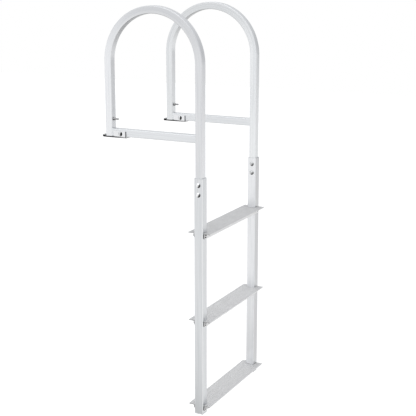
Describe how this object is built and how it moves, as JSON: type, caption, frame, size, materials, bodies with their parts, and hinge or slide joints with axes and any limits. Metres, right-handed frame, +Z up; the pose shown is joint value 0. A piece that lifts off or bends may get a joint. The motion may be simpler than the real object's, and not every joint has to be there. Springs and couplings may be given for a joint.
{
  "type": "dock ladder",
  "caption": "Flip-up dock ladder with hoop handrails of square aluminium tube, adjustable side rails, extruded treads and deck hinges.",
  "frame": {"origin": "underside of the left hinge leaf, on the deck, straight below the centre of the left handrail's rear leg", "axes": "+X from the dock out over the water, +Y from the left rail to the right rail as a climber sees them, +Z up"},
  "size_m": [0.4041, 0.4547, 1.3715],
  "materials": {
    "tube": "satin clear anodised",
    "rail": "satin clear anodised",
    "tread": "ribbed, satin anodised",
    "stainless": "polished stainless",
    "fastener": "polished stainless",
    "plug": "moulded"
  },
  "bodies": {
    "deck_hinges": {"left_hinge_leaf": "stainless", "left_hinge_pin": "stainless", "right_hinge_leaf": "stainless", "right_hinge_pin": "stainless"},
    "ladder": {"left_hinge_saddle": "stainless", "left_saddle_bolt": "fastener", "left_handrail": "tube", "left_deck_bar": "tube", "left_leg_bolt": "fastener", "left_side_rail": "rail", "left_upper_sleeve_bolt": "fastener", "left_lower_sleeve_bolt": "fastener", "left_rail_cap": "plug", "left_upper_tread_bolt": "fastener", "left_middle_tread_bolt": "fastener", "left_lower_tread_bolt": "fastener", "right_hinge_saddle": "stainless", "right_saddle_bolt": "fastener", "right_handrail": "tube", "right_deck_bar": "tube", "right_leg_bolt": "fastener", "right_side_rail": "rail", "right_upper_sleeve_bolt": "fastener", "right_lower_sleeve_bolt": "fastener", "right_rail_cap": "plug", "right_upper_tread_bolt": "fastener", "right_middle_tread_bolt": "fastener", "right_lower_tread_bolt": "fastener", "upper_tread": "tread", "middle_tread": "tread", "lower_tread": "tread"}
  },
  "joints": [
    {"name": "flip_up", "type": "hinge", "parent": "deck_hinges", "child": "ladder", "pos_m": [-0.0195, 0, 0.00458], "axis": [0, -1, 0], "range_deg": [0, 90]}
  ]
}
